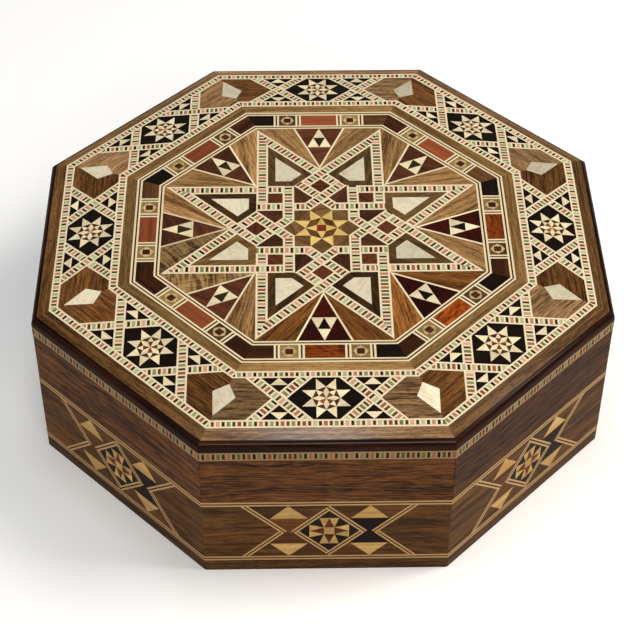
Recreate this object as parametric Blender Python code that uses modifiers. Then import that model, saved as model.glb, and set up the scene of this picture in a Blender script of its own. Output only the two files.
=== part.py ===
"""Octagonal marquetry box with a bevelled lift-off lid, closed, standing on its underside."""

import bpy
import bmesh
from math import cos, pi, sin, tan

# The eight-sided plan
SIDES = 8
ACROSS_FLATS = 0.250

# Body of the box: mitred boards round a let-in bottom
WALL_THICKNESS = 0.009
BOTTOM_THICKNESS = 0.006
RIM_HEIGHT = 0.0748
BASE_STRIP_HEIGHT = 0.0065
SIDE_PATTERN_HEIGHT = 0.0377
SIDE_STRIP_HEIGHT = 0.0045

# Lid: a board with a frame round it, falling gently from its flat middle to the frame and
# faster across the frame to the rounded edge
EDGE_HEIGHT = 0.0043
FRAME_FALL = 0.0023
FIELD_FALL = 0.0028
EDGE_ROUNDING = 0.0035
ROUNDING_STEPS = 5
PLUG_DEPTH = 0.003
PLUG_CLEARANCE = 0.0006

# Bands on top of the lid, from the outside in
FRAME_WIDTH = 0.0076
MOSAIC_WIDTH = 0.0039
FIELD_WIDTH = 0.0211
INNER_FRAME_WIDTH = 0.0049
STRING_WIDTH = 0.0024
TILE_WIDTH = 0.0077

# Sheets of marquetry and what parts one piece from the next
SHEET_THICKNESS = 0.0010
JOINT_GAP = 0.0003

# Crossed straps beside each rosette, which bound the corner fields
CROSS_OFFSET = 0.0192
CROSS_STRAP_WIDTH = 0.0046

# Kite of shell in each corner field, on the line from the middle to the corner
CORNER_SHELL_INNER_MARGIN = 0.0031
CORNER_SHELL_OUTER_MARGIN = 0.0026
CORNER_SHELL_SHOULDER = 0.0055
CORNER_SHELL_WIDTH = 0.0102

# Woven star in the middle of the lid, and the kite of shell in each of its points
STAR_MARGIN = 0.0003
STAR_STRAP_WIDTH = 0.0052
STAR_SHELL_MARGIN = 0.0034

HALF_ANGLE = pi / SIDES
EDGE_APOTHEM = ACROSS_FLATS / 2
FRONT_ANGLE = -pi / 2
RECESS_DEPTH = SHEET_THICKNESS + JOINT_GAP
HALF_GAP = JOINT_GAP / 2

# Distances from the middle of the lid to the flat sides of its bands
FRAME_INNER = EDGE_APOTHEM - FRAME_WIDTH
FIELD_OUTER = FRAME_INNER - MOSAIC_WIDTH
FIELD_INNER = FIELD_OUTER - FIELD_WIDTH
INNER_FRAME_OUTER = FIELD_INNER - MOSAIC_WIDTH
OUTER_STRING_OUTER = INNER_FRAME_OUTER - INNER_FRAME_WIDTH
TILE_OUTER = OUTER_STRING_OUTER - STRING_WIDTH
INNER_STRING_OUTER = TILE_OUTER - TILE_WIDTH
STAR_FIELD = INNER_STRING_OUTER - STRING_WIDTH

# Heights above the rim, for everything that belongs to the lid
LID_TOP = EDGE_HEIGHT + FRAME_FALL + FIELD_FALL
LID_UNDERSIDE = JOINT_GAP

MATERIALS = {
    "walnut": ((0.150, 0.062, 0.026), 0.35, 0.0),
    "walnut_side": ((0.100, 0.030, 0.012), 0.35, 0.0),
    "dark_walnut": ((0.040, 0.020, 0.010), 0.35, 0.0),
    "plain_wood": ((0.260, 0.150, 0.075), 0.60, 0.0),
    "mosaic": ((0.560, 0.420, 0.250), 0.35, 0.0),
    "marquetry": ((0.190, 0.095, 0.050), 0.35, 0.0),
    "stringing": ((0.620, 0.460, 0.270), 0.35, 0.0),
    "tiles": ((0.250, 0.060, 0.025), 0.35, 0.0),
    "rosette": ((0.080, 0.060, 0.035), 0.35, 0.0),
    "shell": ((0.740, 0.720, 0.640), 0.20, 0.0),
}


def clear_objects():
    for item in list(bpy.data.objects):
        bpy.data.objects.remove(item, do_unlink=True)


def new_collection(name):
    collection = bpy.data.collections.new(name)
    bpy.context.scene.collection.children.link(collection)
    return collection


def make_materials():
    made = {}
    for name, (colour, roughness, metallic) in MATERIALS.items():
        material = bpy.data.materials.new(name)
        material.use_nodes = True
        shader = material.node_tree.nodes["Principled BSDF"]
        shader.inputs["Base Color"].default_value = (*colour, 1.0)
        shader.inputs["Roughness"].default_value = roughness
        shader.inputs["Metallic"].default_value = metallic
        material.diffuse_color = (*colour, 1.0)
        made[name] = material
    return made


def new_empty(name, height):
    empty = bpy.data.objects.new(name, None)
    empty.location.z = height
    parts.objects.link(empty)
    return empty


def side_angle(index):
    """Direction that side number index faces, the front being number 0."""
    return FRONT_ANGLE + index * 2 * HALF_ANGLE


def corner_radius(apothem):
    return apothem / cos(HALF_ANGLE)


def half_side(apothem):
    return apothem * tan(HALF_ANGLE)


def top_height(apothem):
    """Height of the lid's finished surface above the rim, on the line square to a side."""
    on_field = min(max(0.0, apothem - FIELD_INNER), FRAME_INNER - FIELD_INNER)
    on_frame = max(0.0, apothem - FRAME_INNER)
    return (LID_TOP - FIELD_FALL * on_field / (FRAME_INNER - FIELD_INNER)
            - FRAME_FALL * on_frame / FRAME_WIDTH)


def offset_outline(points, distance):
    """Anticlockwise outline moved outwards by distance, side by side."""
    moved = []
    count = len(points)
    for index in range(count):
        before = points[index - 1]
        here = points[index]
        after = points[(index + 1) % count]
        normals = []
        for start, end in ((before, here), (here, after)):
            run_x = end[0] - start[0]
            run_y = end[1] - start[1]
            length = (run_x * run_x + run_y * run_y) ** 0.5
            normals.append((run_y / length, -run_x / length))
        (ax, ay), (bx, by) = normals
        share = 1 + ax * bx + ay * by
        moved.append((here[0] + distance * (ax + bx) / share,
                      here[1] + distance * (ay + by) / share))
    return moved


def turn(point, angle):
    x, y = point
    return (x * cos(angle) - y * sin(angle), x * sin(angle) + y * cos(angle))


def crossing(first_angle, first_distance, second_angle, second_distance):
    """Where two lines meet, each given by the angle it faces and its distance from the middle."""
    spread = sin(second_angle - first_angle)
    x = first_distance * sin(second_angle) - second_distance * sin(first_angle)
    y = second_distance * cos(first_angle) - first_distance * cos(second_angle)
    return (x / spread, y / spread)


def plate_mesh(name, outlines, low, high):
    """Flat plate between two heights, cut to the first outline and pierced by the others."""
    curve = bpy.data.curves.new(name, "CURVE")
    curve.dimensions = "2D"
    curve.fill_mode = "BOTH"
    curve.extrude = (high - low) / 2
    for outline in outlines:
        spline = curve.splines.new("POLY")
        spline.points.add(len(outline) - 1)
        for point, (x, y) in zip(spline.points, outline):
            point.co = (x, y, 0.0, 1.0)
        spline.use_cyclic_u = True
    drawn = bpy.data.objects.new(name, curve)
    parts.objects.link(drawn)
    graph = bpy.context.evaluated_depsgraph_get()
    mesh = bpy.data.meshes.new_from_object(drawn.evaluated_get(graph))
    bpy.data.objects.remove(drawn, do_unlink=True)
    bpy.data.curves.remove(curve)
    shape = bmesh.new()
    shape.from_mesh(mesh)
    bmesh.ops.remove_doubles(shape, verts=shape.verts, dist=0.000001)
    bmesh.ops.translate(shape, verts=shape.verts, vec=(0, 0, (low + high) / 2))
    bmesh.ops.recalc_face_normals(shape, faces=shape.faces)
    shape.to_mesh(mesh)
    shape.free()
    return mesh


def add_piece(name, mesh, parent, material, angle=0.0):
    piece = bpy.data.objects.new(name, mesh)
    piece.parent = parent
    piece.rotation_euler.z = angle
    mesh.materials.clear()
    mesh.materials.append(finishes[material])
    parts.objects.link(piece)
    return piece


def add_cutter(name, mesh, parent, angle=0.0):
    cutter = bpy.data.objects.new(name, mesh)
    cutter.parent = parent
    cutter.rotation_euler.z = angle
    cutter.hide_render = True
    cutter.display_type = "WIRE"
    cutters.objects.link(cutter)
    return cutter


def cut(piece, operation, cutter):
    step = piece.modifiers.new(operation.lower(), "BOOLEAN")
    step.operation = operation
    step.solver = "EXACT"
    step.object = cutter


def turned_piece(name, profile, closed, parent, material):
    """Profile of (distance to the flat, height) points carried round the eight sides."""
    mesh = bpy.data.meshes.new(name)
    points = [(corner_radius(apothem), 0.0, height) for apothem, height in profile]
    edges = [(index, index + 1) for index in range(len(points) - 1)]
    if closed:
        edges.append((len(points) - 1, 0))
    mesh.from_pydata(points, edges, [])
    piece = add_piece(name, mesh, parent, material, HALF_ANGLE)
    step = piece.modifiers.new("eight sides", "SCREW")
    step.steps = SIDES
    step.render_steps = SIDES
    step.use_merge_vertices = True
    step.merge_threshold = 0.00001
    step.use_smooth_shade = False
    return piece


def band_profile(inner, outer):
    """Section of a band of the lid's top, parted from its neighbours by half a gap."""
    near = inner + HALF_GAP
    far = outer - HALF_GAP
    return [(near, top_height(near)),
            (far, top_height(far)),
            (far, top_height(far) - SHEET_THICKNESS),
            (near, top_height(near) - SHEET_THICKNESS)]


def mitred_mesh(name, section):
    """Section of (distance from the middle, height) points run along a side and mitred."""
    longest = half_side(EDGE_APOTHEM)
    mesh = plate_mesh(name, [section], -longest, longest)
    shape = bmesh.new()
    shape.from_mesh(mesh)
    for point in shape.verts:
        point.co = (point.co.x, point.co.z, point.co.y)
    for end in (-1, 1):
        normal = (-sin(HALF_ANGLE), end * cos(HALF_ANGLE), 0.0)
        cut_point = (0.0, -end * HALF_GAP / cos(HALF_ANGLE), 0.0)
        geometry = shape.verts[:] + shape.edges[:] + shape.faces[:]
        bmesh.ops.bisect_plane(shape, geom=geometry, plane_co=cut_point, plane_no=normal,
                               clear_outer=True)
        open_edges = [edge for edge in shape.edges if edge.is_boundary]
        bmesh.ops.edgenet_fill(shape, edges=open_edges)
    bmesh.ops.recalc_face_normals(shape, faces=shape.faces)
    shape.to_mesh(mesh)
    shape.free()
    return mesh


def wall_section():
    """A wall board, with a recess for the marquetry sheet and a rebate for the mosaic strip."""
    inner = EDGE_APOTHEM - WALL_THICKNESS
    recess = EDGE_APOTHEM - RECESS_DEPTH
    pattern_top = BASE_STRIP_HEIGHT + SIDE_PATTERN_HEIGHT
    strip_low = RIM_HEIGHT - SIDE_STRIP_HEIGHT
    return [(inner, 0.0),
            (EDGE_APOTHEM, 0.0),
            (EDGE_APOTHEM, BASE_STRIP_HEIGHT),
            (recess, BASE_STRIP_HEIGHT),
            (recess, pattern_top),
            (EDGE_APOTHEM, pattern_top),
            (EDGE_APOTHEM, strip_low),
            (recess, strip_low),
            (recess, RIM_HEIGHT),
            (inner, RIM_HEIGHT)]


def side_sheet_section():
    low = BASE_STRIP_HEIGHT + JOINT_GAP
    high = BASE_STRIP_HEIGHT + SIDE_PATTERN_HEIGHT - JOINT_GAP
    near = EDGE_APOTHEM - SHEET_THICKNESS
    return [(near, low), (EDGE_APOTHEM, low), (EDGE_APOTHEM, high), (near, high)]


def make_body(body):
    reach = EDGE_APOTHEM - WALL_THICKNESS - JOINT_GAP
    floor_outline = [turn((corner_radius(reach), 0.0), HALF_ANGLE * (2 * index + 1))
                     for index in range(SIDES)]
    floor_mesh = plate_mesh("bottom_board", [floor_outline], 0.0, BOTTOM_THICKNESS)
    add_piece("bottom_board", floor_mesh, body, "plain_wood")

    wall_mesh = mitred_mesh("wall_board", wall_section())
    sheet_mesh = mitred_mesh("side_marquetry", side_sheet_section())
    for index in range(SIDES):
        number = index + 1
        angle = side_angle(index)
        add_piece(f"wall_board_{number}", wall_mesh, body, "walnut_side", angle)
        add_piece(f"side_marquetry_{number}", sheet_mesh, body, "marquetry", angle)

    strip_low = RIM_HEIGHT - SIDE_STRIP_HEIGHT + JOINT_GAP
    near = EDGE_APOTHEM - SHEET_THICKNESS
    strip = [(EDGE_APOTHEM, RIM_HEIGHT), (EDGE_APOTHEM, strip_low), (near, strip_low),
             (near, RIM_HEIGHT)]
    turned_piece("side_mosaic_strip", strip, True, body, "mosaic")


def make_lid_board(lid):
    outer = FRAME_INNER - HALF_GAP
    plug = EDGE_APOTHEM - WALL_THICKNESS - PLUG_CLEARANCE
    profile = [(0.0, LID_TOP - RECESS_DEPTH),
               (FIELD_INNER, LID_TOP - RECESS_DEPTH),
               (outer, top_height(outer) - RECESS_DEPTH),
               (outer, LID_UNDERSIDE),
               (plug, LID_UNDERSIDE),
               (plug, -PLUG_DEPTH),
               (0.0, -PLUG_DEPTH)]
    turned_piece("lid_board", profile, False, lid, "plain_wood")


def make_lid_frame(lid):
    """Frame of the lid, its upper outer edge rounded from the slope down to the upright."""
    near = FRAME_INNER + HALF_GAP
    slope = FRAME_FALL / FRAME_WIDTH
    centre_x = EDGE_APOTHEM - EDGE_ROUNDING
    centre_z = top_height(centre_x) - EDGE_ROUNDING * (1 + slope * slope) ** 0.5
    start = (slope / (1 + slope * slope) ** 0.5, 1 / (1 + slope * slope) ** 0.5)
    profile = [(near, top_height(near))]
    for step in range(ROUNDING_STEPS + 1):
        share = step / ROUNDING_STEPS
        blend_x = start[0] * cos(share * pi / 2) + sin(share * pi / 2)
        blend_z = start[1] * cos(share * pi / 2)
        length = (blend_x * blend_x + blend_z * blend_z) ** 0.5
        profile.append((centre_x + EDGE_ROUNDING * blend_x / length,
                        centre_z + EDGE_ROUNDING * blend_z / length))
    profile.append((EDGE_APOTHEM, LID_UNDERSIDE))
    profile.append((near, LID_UNDERSIDE))
    turned_piece("lid_frame", profile, True, lid, "dark_walnut")


def make_lid_bands(lid):
    bands = (("lid_outer_mosaic", FIELD_OUTER, FRAME_INNER, "mosaic"),
             ("lid_inner_mosaic", INNER_FRAME_OUTER, FIELD_INNER, "mosaic"),
             ("lid_inner_frame", OUTER_STRING_OUTER, INNER_FRAME_OUTER, "walnut"),
             ("outer_stringing", TILE_OUTER, OUTER_STRING_OUTER, "stringing"),
             ("tile_border", INNER_STRING_OUTER, TILE_OUTER, "tiles"),
             ("inner_stringing", STAR_FIELD, INNER_STRING_OUTER, "stringing"))
    for name, inner, outer, material in bands:
        turned_piece(name, band_profile(inner, outer), True, lid, material)


def corner_field_outline():
    """Kite between the crossed straps of two neighbouring sides, round the corner line at +X."""
    middle = (FIELD_INNER + FIELD_OUTER) / 2
    notch = CROSS_OFFSET + CROSS_STRAP_WIDTH / 2 * 2 ** 0.5
    side = turn((middle, notch), -HALF_ANGLE)
    other = (side[0], -side[1])
    inward = turn((-1.0, 1.0), -HALF_ANGLE)
    outward = turn((1.0, 1.0), -HALF_ANGLE)
    inner_tip = side[0] - side[1] * inward[0] / inward[1]
    outer_tip = side[0] - side[1] * outward[0] / outward[1]
    return [(inner_tip, 0.0), side, (outer_tip, 0.0), other]


def corner_shell_outline():
    inner_tip = corner_radius(FIELD_INNER) + CORNER_SHELL_INNER_MARGIN
    outer_tip = corner_radius(FIELD_OUTER) - CORNER_SHELL_OUTER_MARGIN
    shoulder = inner_tip + CORNER_SHELL_SHOULDER
    half_width = CORNER_SHELL_WIDTH / 2
    return [(inner_tip, 0.0), (shoulder, -half_width), (outer_tip, 0.0),
            (shoulder, half_width)]


def rosette_outline():
    """Hourglass between two corner fields, round the line square to a side at +X."""
    middle = (FIELD_INNER + FIELD_OUTER) / 2
    notch = CROSS_OFFSET + CROSS_STRAP_WIDTH / 2 * 2 ** 0.5
    reach = (FIELD_WIDTH + MOSAIC_WIDTH) / 2
    return [(middle - reach, -notch - reach),
            (middle, -notch),
            (middle + reach, -notch - reach),
            (middle + reach, notch + reach),
            (middle, notch),
            (middle - reach, notch + reach)]


def make_field(lid):
    """Pieces of the bevelled field: eight rosette panels and eight corner fields with shell."""
    low = -PLUG_DEPTH
    high = LID_TOP + PLUG_DEPTH
    shell = corner_shell_outline()
    shapes = {"corner_field": offset_outline(corner_field_outline(), -HALF_GAP),
              "shell_opening": offset_outline(shell, HALF_GAP),
              "corner_shell": offset_outline(shell, -HALF_GAP),
              "rosette_panel": offset_outline(rosette_outline(), -HALF_GAP)}
    meshes = {name: plate_mesh(name + "_cutter", [outline], low, high)
              for name, outline in shapes.items()}
    field = band_profile(FIELD_INNER, FIELD_OUTER)
    for index in range(SIDES):
        number = index + 1
        side = side_angle(index)
        corner_angle = side + HALF_ANGLE
        cutting = {}
        for name, mesh in meshes.items():
            angle = side if name == "rosette_panel" else corner_angle
            cutting[name] = add_cutter(f"{name}_cutter_{number}", mesh, lid, angle)
        panel = turned_piece(f"rosette_panel_{number}", field, True, lid, "rosette")
        cut(panel, "INTERSECT", cutting["rosette_panel"])
        walnut = turned_piece(f"corner_field_{number}", field, True, lid, "walnut")
        cut(walnut, "INTERSECT", cutting["corner_field"])
        cut(walnut, "DIFFERENCE", cutting["shell_opening"])
        kite = turned_piece(f"corner_shell_{number}", field, True, lid, "shell")
        cut(kite, "INTERSECT", cutting["corner_shell"])


def star_shell_outline():
    """Kite inside a point of the star, round the line from the middle to a corner at +X."""
    outer_line = corner_radius(STAR_FIELD) * sin(HALF_ANGLE) - STAR_MARGIN
    long_side = outer_line - STAR_STRAP_WIDTH - STAR_SHELL_MARGIN
    short_side = outer_line + STAR_SHELL_MARGIN
    wide = 3 * HALF_ANGLE
    heel = crossing(HALF_ANGLE, short_side, -HALF_ANGLE, short_side)
    tip = crossing(wide, long_side, -wide, long_side)
    upper = crossing(wide, long_side, -HALF_ANGLE, short_side)
    lower = crossing(-wide, long_side, HALF_ANGLE, short_side)
    return [heel, lower, tip, upper]


def make_star(lid):
    """Flat middle of the lid: one sheet of woven star, pierced for eight kites of shell."""
    low = LID_TOP - SHEET_THICKNESS
    outline = star_shell_outline()
    reach = corner_radius(STAR_FIELD - HALF_GAP)
    edge = [turn((reach, 0.0), HALF_ANGLE * (2 * index + 1)) for index in range(SIDES)]
    openings = []
    shell_mesh = plate_mesh("star_shell", [offset_outline(outline, -HALF_GAP)], low, LID_TOP)
    for index in range(SIDES):
        angle = side_angle(index) + HALF_ANGLE
        openings.append([turn(point, angle) for point in offset_outline(outline, HALF_GAP)])
        add_piece(f"star_shell_{index + 1}", shell_mesh, lid, "shell", angle)
    panel_mesh = plate_mesh("star_panel", [edge] + openings, low, LID_TOP)
    add_piece("star_panel", panel_mesh, lid, "marquetry")


clear_objects()
parts = new_collection("marquetry_box")
cutters = new_collection("cutters")
finishes = make_materials()
box_body = new_empty("box_body", 0.0)
box_lid = new_empty("box_lid", RIM_HEIGHT)
make_body(box_body)
make_lid_board(box_lid)
make_lid_frame(box_lid)
make_lid_bands(box_lid)
make_field(box_lid)
make_star(box_lid)
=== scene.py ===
import math
import random

import bmesh
import bpy
from mathutils import Matrix, Vector


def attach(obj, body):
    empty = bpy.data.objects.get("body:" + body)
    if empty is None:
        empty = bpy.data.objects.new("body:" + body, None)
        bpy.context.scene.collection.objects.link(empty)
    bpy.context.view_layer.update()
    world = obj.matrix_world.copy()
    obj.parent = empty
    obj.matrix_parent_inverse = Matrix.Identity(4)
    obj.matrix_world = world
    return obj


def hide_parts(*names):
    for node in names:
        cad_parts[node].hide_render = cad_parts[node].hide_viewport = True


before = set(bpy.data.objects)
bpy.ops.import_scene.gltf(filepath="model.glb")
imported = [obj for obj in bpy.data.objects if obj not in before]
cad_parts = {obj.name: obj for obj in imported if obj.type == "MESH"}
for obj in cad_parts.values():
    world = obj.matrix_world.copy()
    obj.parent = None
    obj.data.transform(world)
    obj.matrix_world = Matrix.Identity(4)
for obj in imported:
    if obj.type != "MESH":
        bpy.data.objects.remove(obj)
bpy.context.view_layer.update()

# Everything is drawn in millimetres, and placePiece brings it to metres at the end
boxSize = {
    "apothem": 125.0,  # middle of the box to a flat side
    "wall": 9.0,
    "rim": 74.8,
    "sheet": 1.0,  # thickness of each sheet of marquetry
    "lidUnder": 75.1,
    "lidTop": 84.2,
    "slopeStart": 92.4,  # the lid is flat inside this distance
    "frameStart": 117.4,  # and falls faster outside this one
    "fieldFall": 2.8,
    "frameFall": 2.3,
}
eighth = math.radians(45.0)  # of a full turn, from one side to the next
halfStep = eighth / 2
quarter = 2 * eighth
front = -quarter
sideAngles = [front + eighth * k for k in range(8)]
finishes = {}


# shader maths

class Wire:
    def __init__(self, recipe, link):
        self.recipe = recipe
        self.link = link

    def maths(self, operation, first, second=0.0):
        return self.recipe.node("ShaderNodeMath", {"operation": operation}, {0: first, 1: second})

    def __add__(self, other):
        return self.maths("ADD", self, other)

    def __sub__(self, other):
        return self.maths("SUBTRACT", self, other)

    def __rsub__(self, other):
        return self.maths("SUBTRACT", other, self)

    def __mul__(self, other):
        return self.maths("MULTIPLY", self, other)

    def __truediv__(self, other):
        return self.maths("DIVIDE", self, other)

    def __mod__(self, other):
        return self.maths("FLOORED_MODULO", self, other)

    def __lt__(self, other):
        return self.maths("LESS_THAN", self, other)

    def __gt__(self, other):
        return self.maths("GREATER_THAN", self, other)

    def __abs__(self):
        return self.maths("ABSOLUTE", self)

    def floor(self):
        return self.maths("FLOOR", self)

    __radd__ = __add__
    __rmul__ = __mul__


class Recipe:
    def __init__(self, name):
        self.material = bpy.data.materials.new(name)
        self.material.use_nodes = True
        self.tree = self.material.node_tree
        self.shader = self.tree.nodes["Principled BSDF"]

    def node(self, kind, settings=None, sockets=None, output=0):
        made = self.tree.nodes.new(kind)
        for key, value in (settings or {}).items():
            if key == "stops":
                ramp = made.color_ramp.elements
                while len(ramp) < len(value):
                    ramp.new(0.5)
                for stop, (place, colour) in zip(ramp, value):
                    stop.position = place
                    stop.color = tint(colour)
            else:
                setattr(made, key, value)
        for key, value in (sockets or {}).items():
            if isinstance(value, Wire):
                self.tree.links.new(value.link, made.inputs[key])
            else:
                made.inputs[key].default_value = value
        return Wire(self, made.outputs[output])

    def vector(self, x, y, z=0.0):
        return self.node("ShaderNodeCombineXYZ", sockets={0: x, 1: y, 2: z})

    def noise(self, place, detail=2.0, rough=0.5, twist=0.0):
        return self.node("ShaderNodeTexNoise", sockets={
            "Vector": place, "Scale": 1.0, "Detail": detail, "Roughness": rough,
            "Distortion": twist})

    def chance(self, number):
        return self.node("ShaderNodeTexWhiteNoise", {"noise_dimensions": "1D"}, {"W": number})

    def mix(self, share, first, second, way="MIX"):
        settings = {"data_type": "RGBA", "blend_type": way, "clamp_factor": True}
        return self.node("ShaderNodeMix", settings, {0: share, 6: first, 7: second}, 2)

    def spread(self, value, low, high):
        return self.node("ShaderNodeMapRange", {"clamp": True}, {0: value, 1: low, 2: high})

    def value(self, colour, amount):
        return self.node("ShaderNodeHueSaturation", sockets={"Value": amount, "Color": colour})

    def feed(self, key, value):
        if isinstance(value, Wire):
            self.tree.links.new(value.link, self.shader.inputs[key])
        else:
            self.shader.inputs[key].default_value = value

    def grain(self):
        # u runs along the grain and v across it, in millimetres or as a share of a strip
        place = self.node("ShaderNodeUVMap", {"uv_map": "grain"})
        return self.parted(place)

    def parted(self, place):
        along = self.node("ShaderNodeSeparateXYZ", sockets={0: place})
        return along, Wire(self, along.link.node.outputs[1])

    def tone(self):
        # each board's own number, mostly from 0 to 1
        return self.node("ShaderNodeAttribute", {"attribute_name": "tone"}, output=2)

    def between(self, share, pair):
        return self.mix(share, tint(pair[0]), tint(pair[1]))

    def finish(self, colour, rough, height, strength=0.1, depth=0.0001):
        self.feed("Base Color", colour)
        self.feed("Roughness", rough)
        self.feed("Normal", self.node("ShaderNodeBump", sockets={
            "Strength": strength, "Distance": depth, "Height": height}))
        finishes[self.material.name] = self.material

    def lacquer(self, weight, rough):
        # nearly all the gloss is the coat's, as wood under lacquer shines little by itself
        self.feed("Coat Weight", weight)
        self.feed("Coat Roughness", rough)
        self.feed("Coat IOR", 1.5)
        self.feed("IOR", 1.15)
        self.feed("Specular IOR Level", 0.1)


def tint(colour):
    # a colour as a screen shows it, from 0 to 255, made linear
    return tuple(((c / 255 + 0.055) / 1.055) ** 2.4 if c > 10 else c / 255 / 12.92
                 for c in colour) + (1.0,)


# how strong the lacquer's coat is, and how dull
topCoat = (0.6, 0.13)
sideCoat = (0.12, 0.25)
frameCoat = (0.7, 0.24)


def grained(light, dark, pore, **changes):
    # fibre to streak tell how strong each kind of grain shows, wave how far it wanders in
    # millimetres, and vary how much one board differs from the next
    look = dict(fibre=0.5, figure=0.5, pores=0.5, fleck=0.25, streak=0.45, wave=1.0, vary=0.34,
                bump=0.12, swirl=0.0, curl=0.0, coat=topCoat)
    look.update(light=light, dark=dark, pore=pore, **changes)
    return look


# light grain, dark grain and pores of each wood, then what sets it apart
woodLooks = {
    "wallWalnut": grained(
        (130, 80, 38), (44, 22, 8), (24, 11, 4), fibre=0.6, fleck=0.85, streak=0.4, wave=9.0,
        vary=0.8, coat=sideCoat),
    "baseWalnut": grained(
        (104, 70, 38), (48, 29, 14), (24, 13, 7), figure=0.6, pores=0.7, fleck=0.6, wave=3.0,
        coat=sideCoat),
    "endWalnut": grained(
        (114, 74, 32), (52, 31, 12), (27, 15, 6), fibre=0.6, figure=0.7, fleck=0.6, streak=0.4,
        wave=9.0, vary=0.2, coat=sideCoat),
    "frameWalnut": grained(
        (156, 116, 72), (72, 46, 24), (40, 25, 14), fibre=0.9, pores=0.9, fleck=0.6, wave=2.0,
        vary=0.9, bump=0.35, coat=frameCoat),
    "frameAmber": grained(
        (158, 110, 58), (76, 45, 19), (42, 24, 11), fibre=0.9, pores=0.9, fleck=0.6, wave=2.0,
        vary=0.9, bump=0.35, coat=frameCoat),
    "innerFrameWalnut": grained(
        (168, 128, 76), (98, 69, 35), (56, 37, 20), fibre=0.9, pores=0.7, fleck=0.5, vary=0.8),
    "fieldWalnut": grained(
        (162, 125, 84), (70, 46, 27), (41, 27, 16), fibre=0.9, figure=0.4, pores=0.8, fleck=0.7,
        wave=2.0, vary=0.6),
    "fieldAmber": grained(
        (138, 90, 44), (58, 32, 13), (32, 17, 7), fibre=0.9, figure=0.4, pores=0.8, fleck=0.7,
        wave=2.0, vary=0.6),
    "wedgeWalnut": grained(
        (204, 156, 98), (96, 64, 33), (60, 39, 20), fibre=0.9, figure=0.6, pores=0.8, fleck=0.5,
        wave=2.0, vary=0.5),
    "amberWalnut": grained(
        (166, 104, 46), (78, 47, 19), (46, 26, 10), fibre=0.9, figure=0.6, pores=0.8, fleck=0.6,
        wave=2.0, vary=0.8),
    "curlyWalnut": grained(
        (180, 142, 90), (82, 58, 32), (48, 32, 17), fibre=0.6, figure=0.4, pores=0.7, wave=2.0,
        vary=0.8, curl=1.1),
    "groundWalnut": grained((84, 56, 26), (38, 22, 7), (22, 12, 5), pores=0.6, vary=0.8),
    "groundPale": grained(
        (134, 102, 58), (74, 51, 25), (46, 30, 14), figure=0.6, pores=0.6, vary=0.8),
    "squareWalnut": grained(
        (134, 98, 58), (76, 50, 25), (50, 30, 14), figure=0.6, pores=0.6, vary=0.6),
    "goldWalnut": grained((124, 84, 38), (72, 44, 17), (44, 25, 9), figure=0.6, vary=0.5),
    "darkKite": grained((92, 54, 32), (48, 24, 13), (25, 11, 6), fibre=0.4, vary=0.5),
    "redWood": grained((74, 17, 6), (38, 7, 3), (20, 5, 3), fibre=0.4, vary=0.6),
    "duskyRed": grained((108, 60, 36), (62, 32, 17), (34, 16, 8), fibre=0.4, vary=0.3),
    "redSquare": grained((106, 58, 32), (66, 30, 15), (36, 15, 8), fibre=0.4),
    "cream": grained((250, 234, 198), (222, 200, 154), (180, 150, 104), pores=0.3),
    "sideCream": grained(
        (212, 174, 108), (172, 132, 72), (132, 98, 50), figure=0.6, pores=0.4, wave=3.0,
        coat=sideCoat),
    "yellowWood": grained((240, 208, 132), (212, 174, 92), (170, 128, 60), fibre=0.4, pores=0.2),
    "ebony": grained((30, 19, 10), (11, 6, 3), (4, 2, 1), pores=0.4),
    "heartBrown": grained((66, 50, 20), (38, 27, 9), (18, 12, 5), pores=0.4),
    "burr": grained(
        (176, 86, 22), (98, 34, 7), (66, 20, 4), fibre=0.4, figure=0.9, vary=0.8, swirl=2.2),
    "brickWood": grained((158, 84, 50), (112, 54, 30), (76, 34, 18), pores=0.4, vary=0.8),
    "rosewood": grained((78, 41, 17), (36, 16, 6), (20, 9, 4), figure=0.6, pores=0.6, vary=0.6),
    "blockBrown": grained((124, 82, 47), (76, 48, 26), (46, 27, 14), figure=0.6, vary=0.3),
    "oliveTile": grained((168, 138, 88), (116, 90, 50), (80, 60, 32), figure=0.6, pores=0.6),
    "brownTile": grained((98, 74, 42), (54, 36, 18), (28, 17, 9)),
    "petalCream": grained((216, 186, 134), (178, 144, 92), (130, 100, 60), pores=0.3),
    "centreRed": grained(
        (136, 52, 24), (96, 30, 13), (60, 16, 8), fibre=0.4, figure=0.4, pores=0.3),
    "petalBrown": grained((150, 84, 40), (92, 46, 20), (56, 27, 12), fibre=0.4, pores=0.3),
    "neckBrown": grained((112, 68, 28), (64, 35, 12), (36, 19, 7), fibre=0.4, coat=sideCoat),
    "neckBlack": grained((37, 15, 11), (16, 6, 4), (8, 3, 2), fibre=0.4, pores=0.4, coat=sideCoat),
    "besideBrown": grained(
        (102, 65, 29), (49, 27, 9), (28, 14, 6), figure=0.6, pores=0.6, vary=0.8, coat=sideCoat),
    "sideBlack": grained((36, 23, 14), (14, 8, 4), (5, 3, 2), pores=0.4, coat=sideCoat),
    "sideRed": grained(
        (118, 56, 30), (70, 28, 14), (40, 15, 8), fibre=0.4, pores=0.3, coat=sideCoat),
    # the lid's rounded edge, a dark stain darkened further as painted shade; edgeGloss is its
    # front part, a little lighter and with more coat
    "edgeStain": grained(
        (64, 28, 11), (20, 8, 3), (9, 4, 2), fibre=0.6, figure=0.7, pores=0.8, streak=0.7,
        wave=3.0, vary=0.2, coat=sideCoat),
    "edgeGloss": grained(
        (76, 38, 18), (28, 12, 5), (12, 6, 3), fibre=0.6, figure=0.7, pores=0.8, streak=0.7,
        wave=3.0, vary=0.2, bump=0.5, coat=(0.4, 0.15)),
    "plainWood": grained((186, 148, 104), (150, 112, 72), (110, 78, 48), figure=0.6, pores=0.3),
}


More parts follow.
